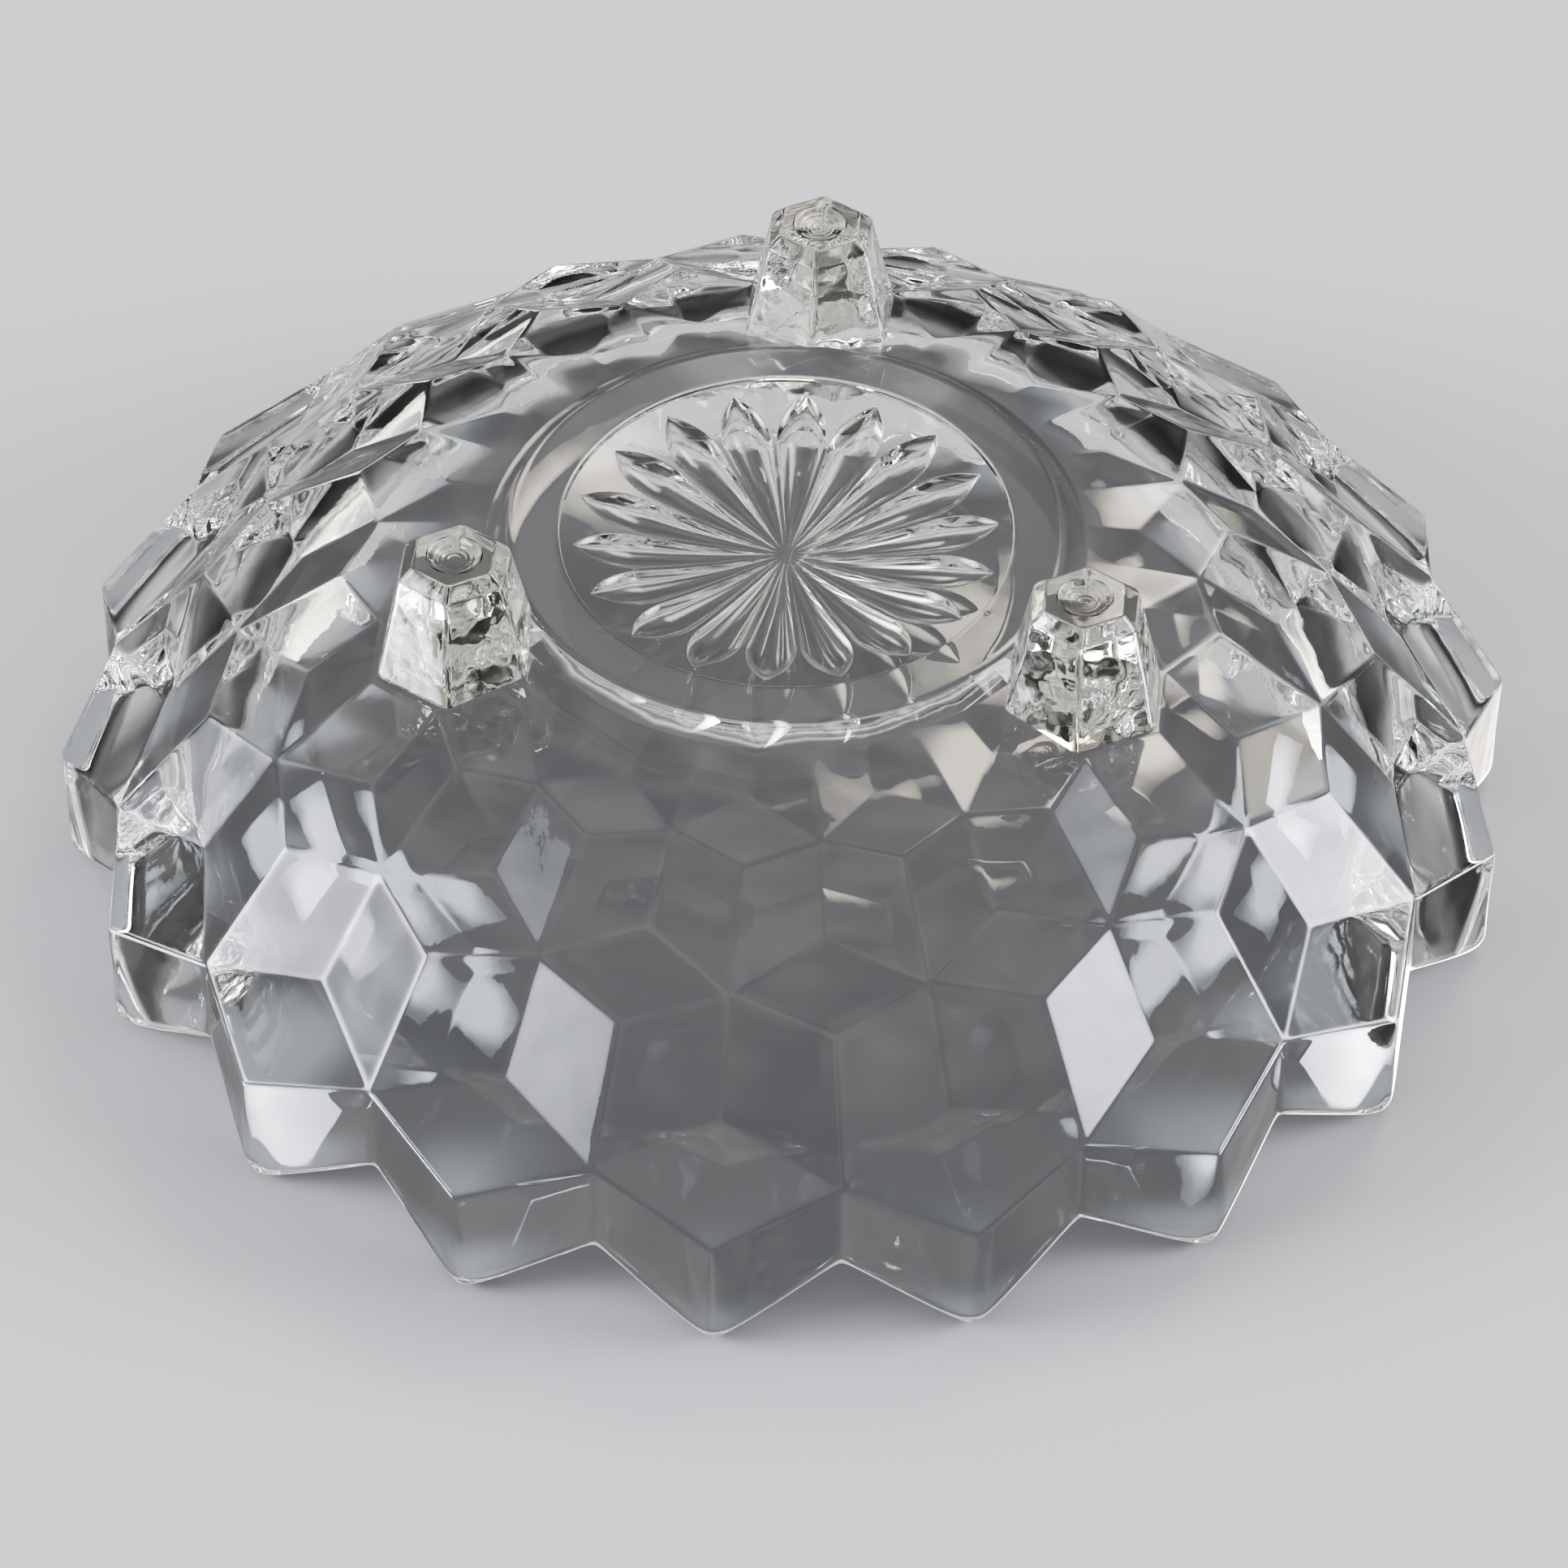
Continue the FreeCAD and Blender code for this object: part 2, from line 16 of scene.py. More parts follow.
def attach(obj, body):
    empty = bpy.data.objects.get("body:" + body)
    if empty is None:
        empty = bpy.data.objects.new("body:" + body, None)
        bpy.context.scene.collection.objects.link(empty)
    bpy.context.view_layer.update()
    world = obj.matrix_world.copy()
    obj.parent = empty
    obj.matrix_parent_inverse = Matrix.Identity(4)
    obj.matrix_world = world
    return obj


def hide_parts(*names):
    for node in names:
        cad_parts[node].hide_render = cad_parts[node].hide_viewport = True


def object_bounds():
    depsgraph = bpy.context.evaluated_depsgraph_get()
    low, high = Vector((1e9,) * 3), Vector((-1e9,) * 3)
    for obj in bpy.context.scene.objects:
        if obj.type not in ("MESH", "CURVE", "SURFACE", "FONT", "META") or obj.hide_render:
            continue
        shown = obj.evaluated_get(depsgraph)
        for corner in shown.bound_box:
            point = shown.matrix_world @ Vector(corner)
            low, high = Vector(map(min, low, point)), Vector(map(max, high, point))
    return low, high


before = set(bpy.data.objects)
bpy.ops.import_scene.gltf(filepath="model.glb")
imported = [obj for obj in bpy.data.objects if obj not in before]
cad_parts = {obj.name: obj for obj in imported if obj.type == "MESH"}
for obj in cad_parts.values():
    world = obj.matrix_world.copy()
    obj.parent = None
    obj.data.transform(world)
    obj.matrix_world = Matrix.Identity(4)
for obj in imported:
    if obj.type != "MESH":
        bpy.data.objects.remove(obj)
cad_low, cad_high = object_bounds()

MM = 0.001
RIM_RADIUS = cad_high.x / MM
DISH_HEIGHT = cad_high.z / MM

# ------------------------------------------------------------------ sizes of the dish, in mm
COLUMNS = 18
PITCH = 2 * math.pi / COLUMNS
NOTCH_RADIUS = RIM_RADIUS - 5.8
NOTCH_DROP = 7.5
UP_FRONT = (RIM_RADIUS, 43.0)
UP_SIDE = (NOTCH_RADIUS, 38.7)
MID_SIDE = (66.4, 24.0)
LOW_SIDE = (49.8, 15.4)
BACK_RADII = {"up": 76.0, "mid": 59.1, "low": 42.6}
FRONT_RADII = {"mid": 71.4, "low": 53.9}
SKIRT = (34.5, 13.2)
FLOOR_RADIUS, FLOOR_HEIGHT = 36.0, 20.0
WALL_ARC = 44.0
FLARE = math.radians(62.0)
RING_RADIUS, RING_HEIGHT = 33.4, 11.9
RING_SPLAY = 2.7        # how far the ring's soft side runs out on the facets
MEDALLION_RADIUS, MEDALLION_EDGE, MEDALLION_CENTRE = 27.2, 12.4, 16.06
RAY_START, RAY_WIDE, RAY_TIP = 1.2, 18.8, 25.6
RAY_HALF_WIDTH, RAY_DEPTH = 3.05, 1.3
TOE_CIRCLE = 42.8
TOES = 3
TOE_PROFILE = ((10.84, 17.5), (7.2, 1.6), (5.4, 0.0))
DIMPLE_RADIUS, DIMPLE_DEPTH = 3.1, 0.8
DIMPLE_SHELF = .6                       # flat of the end face left outside the dimple
MOULD_RING_HEIGHT, MOULD_RING_PITCH, MOULD_RING_FADE = .035, .62, 2.2

# Softness that the mould and the fire polish leave on the edges, as the spread of a blur.
FACET_SOFTNESS = 0.3
RIM_SOFTNESS = 0.9
TIP_ROUNDING, NOTCH_ROUNDING = 1.7, 0.7
TOE_ROUNDING = .35
WIDE_TOE_CORNER, END_CORNER, WIDE_TOE_FROM = .7, .5, 5.6

# Points closer together than this are one point. Edges shorter than a share of it are taken out.
DISH_WELD, TOE_WELD, SHORT_EDGE = .004, .001, .2

# Cuts across a medallion ray from its middle to its edge, and across the land beside it.
RAY_CUTS = (0, .2, .4, .58, .72, .83, .91, .965, 1)
LAND_CUTS = (0, .06, .15, .28, .45, .62, .78, .9, 1)
RAY_STEEPNESS, RAY_BLUNTNESS = 2.6, 2.6

# Radii of the rows of points over the medallion, close together at the rays' tips, and the floor.
RAY_ROWS = (26.9, 26.4, 25.9, RAY_TIP, 25.52, 25.35, 25.1, 24.8, 24.4, 23.8, 22.9, 21.8, 20.8, 19.9, 19.2,
            RAY_WIDE, 18.4, 17.6, 16.4, 14.8, 13, 11, 9, 7.2, 5.8, 4.6, 3.6, 2.8, 2.1, 1.6, RAY_START, .6)
FLOOR_ROWS = (31, 25, 18, 11, 5, 1.5)
DIMPLE_ROWS = (DIMPLE_RADIUS + .25, DIMPLE_RADIUS + .08, DIMPLE_RADIUS - .1, 2.8, 2.6, 2.45, 2.3, 2.15, 2.0,
               1.85, 1.7, 1.55, 1.4, 1.25, 1.1, .95, .8, .65, .5, .35, .2)

RIM_PROBE, RIM_STEPS = 3.0, 15          # how far below the rim its outside is found; steps over it
FOOT_BLEND = .6                         # share of the last facet that turns round towards the ring
RING_ROUNDING, MEDALLION_STEP = .7, .15

# Cuts along one facet edge, close together at both ends where the edges are rounded.
CUTS = np.array([0, .012, .03, .055, .09, .15, .25, .38, .5, .62, .75, .85, .91, .945, .97, .988, 1])


# ------------------------------------------------------------------ facet corners
def spot(radius, height, column):
    angle = column * PITCH
    return np.array([radius * math.cos(angle), radius * math.sin(angle), height])


def plane_height(three, radius, column):
    """Height at a radius and column of the plane through three corners."""
    a, b, c = three
    n = np.cross(b - a, c - a)
    p = spot(radius, 0, column)
    return a[2] - (n[0] * (p[0] - a[0]) + n[1] * (p[1] - a[1])) / n[2]


def settled(radius, column, *three):
    """A corner whose height makes its facet flat."""
    return radius, plane_height([spot(*corner, at) for corner, at in three], radius, column)


UP_BACK = settled(BACK_RADII["up"], 0, (UP_FRONT, 0), (UP_SIDE, .5), (UP_SIDE, -.5))
MID_FRONT = settled(FRONT_RADII["mid"], .5, (UP_BACK, 0), (UP_SIDE, .5), (MID_SIDE, 0))
MID_BACK = settled(BACK_RADII["mid"], .5, (MID_FRONT, .5), (MID_SIDE, 0), (MID_SIDE, 1))
LOW_FRONT = settled(FRONT_RADII["low"], 0, (MID_BACK, .5), (MID_SIDE, 0), (LOW_SIDE, .5))
LOW_BACK = settled(BACK_RADII["low"], 0, (LOW_FRONT, 0), (LOW_SIDE, .5), (LOW_SIDE, -.5))
LAST_PLANE = [spot(*LOW_BACK, 0), spot(*LOW_SIDE, .5), spot(*SKIRT, .5)]

# The foot of the base ring's soft side, at the mean height of the facets that it runs out on.
FOOT_RADIUS = RING_RADIUS + RING_SPLAY
FOOT_HEIGHT = np.mean([plane_height(LAST_PLANE, FOOT_RADIUS, share * .5) for share in np.linspace(0, 1, 9)])


def smooth_step(share):
    """0 below 0, 1 above 1, and an even S curve between."""
    share = np.clip(share, 0, 1)
    return share * share * (3 - 2 * share)


# ------------------------------------------------------------------ soft facets
class SoftFacets:
    """Distance of the facets from a circle above the floor, blurred, so their edges are rounded."""
    CENTRE = (36.0, 64.0)
    STEPS_ROUND, STEPS_UP = 161, 940
    LOW, HIGH = math.radians(-95), math.radians(9)
    ABOVE_RIM, UNDER_RING = 80.0, 30.0      # how far the facets are carried on past their ends
    USUAL_REACH = 50.0                      # from the circle to the facets
    SOFTER_FROM, SOFTER_OVER = 44.0, 8.0    # where the edges turn softer, and over what height
    BLUR_REACH = 3.5                        # how many spreads the blur takes in

    def __init__(self):
        faces = []
        for shift in (-1, 0, 1):
            for side in (.5, -.5):
                def at(corner, column):
                    return spot(*corner, column + shift)
                tall = (UP_SIDE[0], self.ABOVE_RIM), (UP_FRONT[0], self.ABOVE_RIM)
                under = [(self.UNDER_RING, plane_height(LAST_PLANE, self.UNDER_RING, column))
                         for column in (.5, 0)]
                faces += [
                    [at(UP_FRONT, 0), at(UP_SIDE, side), at(tall[0], side), at(tall[1], 0)],
                    [at(UP_SIDE, side), at(MID_FRONT, side), at(MID_SIDE, 0), at(UP_BACK, 0)],
                    [at(MID_SIDE, 0), at(LOW_FRONT, 0), at(LOW_SIDE, side), at(MID_BACK, side)],
                    [at(LOW_BACK, 0), at(LOW_SIDE, side), at(under[0], side), at(under[1], 0)],
                    [at(UP_FRONT, 0), at(UP_SIDE, side), at(UP_BACK, 0)],
                    [at(MID_SIDE, 0), at(MID_FRONT, side), at(MID_BACK, side)],
                    [at(LOW_FRONT, 0), at(LOW_SIDE, side), at(LOW_BACK, 0)]]
        points, polygons = [], []
        for face in faces:
            for k in range(1, len(face) - 1):
                polygons.append((len(points), len(points) + 1, len(points) + 2))
                points += [Vector(face[0]), Vector(face[k]), Vector(face[k + 1])]
        tree = BVHTree.FromPolygons(points, polygons)
        self.turns = np.linspace(0, PITCH / 2, self.STEPS_ROUND)
        self.lifts = np.linspace(self.LOW, self.HIGH, self.STEPS_UP)
        table = np.zeros((self.STEPS_UP, self.STEPS_ROUND))
        for j, turn in enumerate(self.turns):
            turn = min(max(turn, 1e-5), PITCH / 2 - 1e-5)
            c, s = math.cos(turn), math.sin(turn)
            origin = Vector((self.CENTRE[0] * c, self.CENTRE[0] * s, self.CENTRE[1]))
            for i, lift in enumerate(self.lifts):
                hit = tree.ray_cast(origin, Vector((math.cos(lift) * c, math.cos(lift) * s, math.sin(lift))))
                table[i, j] = hit[3] if hit[3] is not None else table[i - 1, j]
        self.sharp = self.blurred(table, FACET_SOFTNESS)
        self.soft = self.blurred(table, RIM_SOFTNESS)

    def blurred(self, table, softness):
        """Blur of the same width in mm everywhere, up and down first and then round."""
        def kernel(spread):
            reach = max(1, int(math.ceil(self.BLUR_REACH * spread)))
            weights = np.exp(-0.5 * (np.arange(-reach, reach + 1) / spread) ** 2)
            return weights / weights.sum(), reach
        step = (self.HIGH - self.LOW) / (self.STEPS_UP - 1)
        weights, reach = kernel(softness / (self.USUAL_REACH * step))
        padded = np.pad(table, ((reach, reach), (0, 0)), mode="edge")
        up = sum(w * padded[k:k + len(table)] for k, w in enumerate(weights))
        out = np.zeros_like(up)
        for i in range(len(up)):
            radius = self.CENTRE[0] + up[i].mean() * math.cos(self.lifts[i])
            weights, reach = kernel(softness / (radius * self.turns[1]))
            reach = min(reach, self.STEPS_ROUND - 1)
            middle = len(weights) // 2
            weights = weights[middle - reach:middle + reach + 1]
            weights = weights / weights.sum()
            row = np.pad(up[i], reach, mode="reflect")
            out[i] = np.convolve(row, weights, mode="valid")
        return out

    def settle(self, points):
        """Moves points of the flat facets on to the soft ones."""
        turn = np.arctan2(points[:, 1], points[:, 0])
        radius = np.hypot(points[:, 0], points[:, 1])
        lift = np.arctan2(points[:, 2] - self.CENTRE[1], radius - self.CENTRE[0])
        x = np.clip(np.abs(turn) / self.turns[1], 0, self.STEPS_ROUND - 1.001)
        y = (lift - self.LOW) / (self.HIGH - self.LOW) * (self.STEPS_UP - 1)
        y = np.clip(y, 0, self.STEPS_UP - 1.001)
        i, j = y.astype(int), x.astype(int)
        fy, fx = y - i, x - j
        found = []
        for table in (self.sharp, self.soft):
            found.append((1 - fy) * ((1 - fx) * table[i, j] + fx * table[i, j + 1])
                         + fy * ((1 - fx) * table[i + 1, j] + fx * table[i + 1, j + 1]))
        rise = smooth_step((points[:, 2] - self.SOFTER_FROM) / self.SOFTER_OVER)
        distance = found[0] * (1 - rise) + found[1] * rise
        new_radius = self.CENTRE[0] + distance * np.cos(lift)
        return np.stack([new_radius * np.cos(turn), new_radius * np.sin(turn),
                         self.CENTRE[1] + distance * np.sin(lift)], -1)


# ------------------------------------------------------------------ grids of points to faces
class Sheets:
    """Collects grids of points for one column of the dish, from notch to notch."""

    def __init__(self):
        self.points, self.quads, self.finish = [], [], []
        self.count = 0

    def add(self, grid, material, flip):
        rows, across = grid.shape[:2]
        index = np.arange(rows * across).reshape(rows, across) + self.count
        quads = np.stack([index[:-1, :-1], index[:-1, 1:], index[1:, 1:], index[1:, :-1]], -1).reshape(-1, 4)
        if flip:
            quads = quads[:, ::-1]
        self.points.append(grid.reshape(-1, 3))
        self.quads.append(quads)
        self.finish.append(np.full(len(quads), material))
        self.count += rows * across


def between(a, b, share):
    return a + (b - a) * share


def facet_grid(a, b, c, d):
    """Grid over a flat facet; a to b and d to c are opposite edges."""
    u, v = CUTS[None, :, None], CUTS[:, None, None]
    return (1 - u) * (1 - v) * a + u * (1 - v) * b + u * v * c + (1 - u) * v * d


def rounded(points, radius, steps=4):
    """Open profile with each inner corner turned into a short curve."""
    points = [np.array(p, float) for p in points]
    out = [points[0]]
    for before, here, after in zip(points, points[1:], points[2:]):
        back = min(radius, .45 * np.linalg.norm(before - here))
        on = min(radius, .45 * np.linalg.norm(after - here))
        start = here + (before - here) / np.linalg.norm(before - here) * back
        end = here + (after - here) / np.linalg.norm(after - here) * on
        for k in range(steps + 1):
            t = k / steps
            out.append((1 - t) ** 2 * start + 2 * t * (1 - t) * here + t * t * end)
    return out + [points[-1]]


def wall_profile(share, start_height):
    """Radius and height on the inside wall, from a height near the rim down to the floor's edge."""
    arc_end = (FLOOR_RADIUS + WALL_ARC * math.sin(FLARE), FLOOR_HEIGHT + WALL_ARC * (1 - math.cos(FLARE)))
    straight = (start_height - arc_end[1]) / math.sin(FLARE)
    along = share * (straight + WALL_ARC * FLARE)
    if along < straight:
        left = straight - along
        return arc_end[0] + left * math.cos(FLARE), arc_end[1] + left * math.sin(FLARE)
    angle = FLARE - (along - straight) / WALL_ARC
    return FLOOR_RADIUS + WALL_ARC * math.sin(angle), FLOOR_HEIGHT + WALL_ARC * (1 - math.cos(angle))


def rim_height(share):
    """Height of the zigzag rim from a rim point (0) to a notch (1), with both turned round."""
    run = share * RIM_RADIUS * PITCH / 2
    full = RIM_RADIUS * PITCH / 2
    from_tip = math.hypot(run, TIP_ROUNDING) - TIP_ROUNDING
    from_notch = math.hypot(full - run, NOTCH_ROUNDING) - NOTCH_ROUNDING
    return DISH_HEIGHT - NOTCH_DROP * from_tip / (from_tip + from_notch)


def ray_width(radius):
    """Half width of a ray: a long taper from the centre and a short arched tip."""
    if radius <= RAY_WIDE:
        return RAY_HALF_WIDTH * max(0.0, (radius - RAY_START) / (RAY_WIDE - RAY_START))
    x = min(1.0, (radius - RAY_WIDE) / (RAY_TIP - RAY_WIDE))
    return RAY_HALF_WIDTH * (1 - x ** RAY_BLUNTNESS)


def ray_depth(radius):
    """Depth of a ray along its middle, shallower to both ends."""
    if radius <= RAY_WIDE:
        return RAY_DEPTH * max(0.0, (radius - RAY_START) / (RAY_WIDE - RAY_START))
    return RAY_DEPTH * (1 - min(1.0, (radius - RAY_WIDE) / (RAY_TIP - RAY_WIDE)) ** RAY_BLUNTNESS)


# Material numbers that tell the pieces of the pressing apart. The toes count on from TOE.
BOWL, MEDALLION, TOE = 0, 1, 2
UP = np.array([0.0, 0.0, 1.0])


def medallion_height(radius):
    """Height of the medallion's hollow, which is part of a ball."""
    hollow = MEDALLION_CENTRE - MEDALLION_EDGE
    ball = (MEDALLION_RADIUS ** 2 + hollow ** 2) / (2 * hollow)
    return MEDALLION_CENTRE - ball + math.sqrt(ball ** 2 - radius ** 2)


# ------------------------------------------------------------------ one column of the dish
def soft_grid(soft, grid):
    """A grid of flat facet points, moved on to the soft facets."""
    return soft.settle(grid.reshape(-1, 3)).reshape(grid.shape)


def outward(points):
    """Level directions from the axis out to each point."""
    turn = np.arctan2(points[:, 1], points[:, 0])
    return np.stack([np.cos(turn), np.sin(turn), 0 * turn], -1)


def side_facets(soft, half):
    """The narrow facets of the cubes, on one side of a rim point."""
    corners = (((UP_BACK, 0), (UP_SIDE, half), (MID_FRONT, half), (MID_SIDE, 0)),
               ((MID_SIDE, 0), (MID_BACK, half), (LOW_SIDE, half), (LOW_FRONT, 0)))
    return [soft_grid(soft, facet_grid(*[spot(*corner, column) for corner, column in four]))
            for four in corners]


def last_facet(soft, half, foot):
    """The facet below the lower cubes: flat at its top, and round where it meets the base ring."""
    top = between(spot(*LOW_BACK, 0), spot(*LOW_SIDE, half), CUTS[:, None])
    flat = between(top[None], foot[None], CUTS[:, None, None])
    softened = soft_grid(soft, flat)
    softened[-1] = foot
    blend = smooth_step((1 - CUTS[:, None, None]) / FOOT_BLEND)
    return softened * blend + flat * (1 - blend)


def rim_round(outer, heights):
    """Radius of the full round over the rim, which touches the band outside and the wall inside."""
    wall_r, wall_z = wall_profile(0, FLOOR_HEIGHT + WALL_ARC * (1 - math.cos(FLARE)))
    return ((outer - wall_r) * math.sin(FLARE) - (heights - wall_z) * math.cos(FLARE)) \
        / (1 + math.sin(FLARE) - math.cos(FLARE))


def rim_band(soft, half):
    """The band from the upper cubes straight up to the rim, and the full round over the rim."""
    band_foot = between(spot(*UP_FRONT, 0), spot(*UP_SIDE, half), CUTS[:, None])
    heights = np.array([rim_height(share) for share in CUTS])
    probe = band_foot.copy()
    probe[:, 2] = heights - RIM_PROBE
    probe = soft.settle(probe)
    band_top = band_foot.copy()
    band_top[:, 2] = heights - rim_round(np.hypot(probe[:, 0], probe[:, 1]), heights)
    band = soft_grid(soft, between(band_foot[None], band_top[None], CUTS[:, None, None]))
    outer = np.hypot(band[-1][:, 0], band[-1][:, 1])
    bend = rim_round(outer, heights)
    band[-1][:, 2] = heights - bend
    radial = outward(band[-1])
    centre = radial * (outer - bend)[:, None] + UP * (heights - bend)[:, None]
    arc = np.linspace(0, math.pi / 2 + FLARE, RIM_STEPS)
    cap = np.array([centre + (radial * math.cos(a) + UP * math.sin(a)) * bend[:, None] for a in arc])
    cap[0] = band[-1]
    return band, cap


def plain_inside(cap):
    """The inside wall from the rim down, the curve into the floor, and the floor."""
    radial = outward(cap[0])
    shares = np.concatenate([np.linspace(0, .3, 6)[:-1], np.linspace(.3, 1, 15)])
    rows = [cap[-1]]
    for share in shares[1:]:
        profile = np.array([wall_profile(share, height) for height in cap[-1][:, 2]])
        rows.append(radial * profile[:, :1] + UP * profile[:, 1:])
    for radius in FLOOR_ROWS:
        rows.append(radial * radius + UP * FLOOR_HEIGHT)
    rows.append(np.tile(UP * FLOOR_HEIGHT, (len(CUTS), 1)))
    return np.array(rows)


def base_ring(foot):
    """The base ring, from its foot on the facets to the edge of the medallion."""
    profile = rounded([(FOOT_RADIUS, FOOT_HEIGHT), (RING_RADIUS, RING_HEIGHT),
                       (MEDALLION_RADIUS + MEDALLION_STEP, RING_HEIGHT),
                       (MEDALLION_RADIUS, MEDALLION_EDGE)], RING_ROUNDING)
    radial = outward(foot)
    return np.array([foot] + [radial * radius + UP * height for radius, height in profile[1:]])


def medallion_ray(half, edge_row):
    """Half of one ray and the plain glass beside it, in the medallion's shallow hollow."""
    rows = [edge_row]
    for radius in RAY_ROWS:
        half_pitch = radius * PITCH / 2
        width = ray_width(radius)
        edge = max(1e-4, min(.985, width / half_pitch))
        if radius > RAY_TIP:
            edge = .5 * (radius - RAY_TIP) / (MEDALLION_RADIUS - RAY_TIP)
        if radius < RAY_START:
            edge = .5
        shares = [cut * edge for cut in RAY_CUTS] + [edge + cut * (1 - edge) for cut in LAND_CUTS[1:]]
        row = []
        for share in shares:
            across = share * half_pitch
            lift = 0.0
            if width > 1e-3 and across < width:
                lift = ray_depth(radius) * (1 - (across / width) ** RAY_STEEPNESS)
            row.append(spot(radius, medallion_height(radius) + lift, share * half))
        rows.append(np.array(row))
    rows.append(np.tile(UP * medallion_height(0), (len(CUTS), 1)))
    return np.array(rows)


def wide_facets(soft):
    """The tops of the upper and lower cubes, and of a middle cube half a column on."""
    def wide(front, sides, back):
        return facet_grid(spot(*back, 0), spot(*sides, .5), spot(*front, 0), spot(*sides, -.5))

    upper = soft_grid(soft, wide(UP_FRONT, UP_SIDE, UP_BACK))
    lower = soft_grid(soft, wide(LOW_FRONT, LOW_SIDE, LOW_BACK))
    # The soft facets start at a rim point, so the middle cube is worked out there and turned after.
    grid = wide(MID_FRONT, MID_SIDE, MID_BACK)
    angle = np.arctan2(grid[..., 1], grid[..., 0])
    radius = np.hypot(grid[..., 0], grid[..., 1])
    mirrored = PITCH / 2 - np.abs(angle)
    turned = np.stack([radius * np.cos(mirrored), radius * np.sin(mirrored), grid[..., 2]], -1)
    turned = soft_grid(soft, turned)
    away = PITCH / 2 - np.arctan2(turned[..., 1], turned[..., 0])
    angle = np.where(angle < 0, -1.0, 1.0) * away + PITCH / 2
    radius = np.hypot(turned[..., 0], turned[..., 1])
    return [upper, lower, np.stack([radius * np.cos(angle), radius * np.sin(angle), turned[..., 2]], -1)]


def column_sheets():
    """The glass surface of one column: each side of a rim point, and the wide facets."""
    soft = SoftFacets()
    sheets = Sheets()
    for side in (1, -1):
        half, flip = .5 * side, side < 0
        foot = np.array([spot(FOOT_RADIUS, FOOT_HEIGHT, share * half) for share in CUTS])
        for grid in side_facets(soft, half) + [last_facet(soft, half, foot)]:
            sheets.add(grid[::-1], BOWL, flip)
        band, cap = rim_band(soft, half)
        ring = base_ring(foot)
        for grid in (band, cap, plain_inside(cap), ring[::-1]):
            sheets.add(grid, BOWL, flip)
        sheets.add(medallion_ray(half, ring[-1])[::-1], MEDALLION, flip)
    for grid in wide_facets(soft):
        sheets.add(grid[::-1], BOWL, True)
    return sheets


def mesh_of(name, points, faces, materials):
    mesh = bpy.data.meshes.new(name)
    mesh.from_pydata((np.asarray(points) * MM).tolist(), [], [list(map(int, f)) for f in faces])
    mesh.polygons.foreach_set("material_index", np.asarray(materials, np.int32))
    mesh.update()
    return mesh


def weld(mesh, distance):
    """Joins points that lie together, and gives back the number of edges left open."""
    bm = bmesh.new()
    bm.from_mesh(mesh)
    bmesh.ops.remove_doubles(bm, verts=bm.verts, dist=distance * MM)
    bmesh.ops.dissolve_degenerate(bm, edges=bm.edges, dist=distance * MM * SHORT_EDGE)
    bmesh.ops.recalc_face_normals(bm, faces=bm.faces)
    open_edges = sum(1 for e in bm.edges if len(e.link_faces) != 2)
    bm.to_mesh(mesh)
    bm.free()
    mesh.update()
    return open_edges


def turned_round(points, angle):
    """Points turned about the dish's axis."""
    c, s = math.cos(angle), math.sin(angle)
    return points @ np.array([[c, s, 0], [-s, c, 0], [0, 0, 1]])


def blank_dish():
    """Whole closed surface of bowl and medallion, without toes."""
    sheets = column_sheets()
    column = np.concatenate(sheets.points)
    quads = np.concatenate(sheets.quads)
    points = np.concatenate([turned_round(column, i * PITCH) for i in range(COLUMNS)])
    faces = np.concatenate([quads + i * len(column) for i in range(COLUMNS)])
    mesh = mesh_of("dish_blank", points, faces, np.tile(np.concatenate(sheets.finish), COLUMNS))
    open_edges = weld(mesh, DISH_WELD)
    print("dish blank: %d faces, %d open edges" % (len(mesh.polygons), open_edges))
    return bpy.data.objects.new("dish_blank", mesh)


def toe_outline(radius, corner):
    """Hexagon with slightly rounded corners; one corner points away from the dish's axis."""
    flats, bends = 4, 4
    hexagon = [np.array([math.cos(k * math.pi / 3), math.sin(k * math.pi / 3)]) * radius
               for k in range(-1, 7)]
    points = []
    for before, here, after in zip(hexagon, hexagon[1:], hexagon[2:]):
        start = here + (before - here) / radius * corner
        end = here + (after - here) / radius * corner
        for n in range(bends + 1):
            t = n / bends
            points.append((1 - t) ** 2 * start + 2 * t * (1 - t) * here + t * t * end)
        following = after + (here - after) / radius * corner
        for n in range(1, flats):
            points.append(end + (following - end) * n / flats)
    return np.array(points)


def dimple_height(radius):
    """Height of a toe's end face: flat outside, a shallow ball inside, with the mould's fine rings."""
    if radius >= DIMPLE_RADIUS:
        return 0.0
    ball = (DIMPLE_RADIUS ** 2 + DIMPLE_DEPTH ** 2) / (2 * DIMPLE_DEPTH)
    height = math.sqrt(ball ** 2 - radius ** 2) - (ball - DIMPLE_DEPTH)
    ripple = MOULD_RING_HEIGHT * math.cos(2 * math.pi * radius / MOULD_RING_PITCH)
    return height + ripple * (1 - (radius / MOULD_RING_FADE - .5) ** 2)


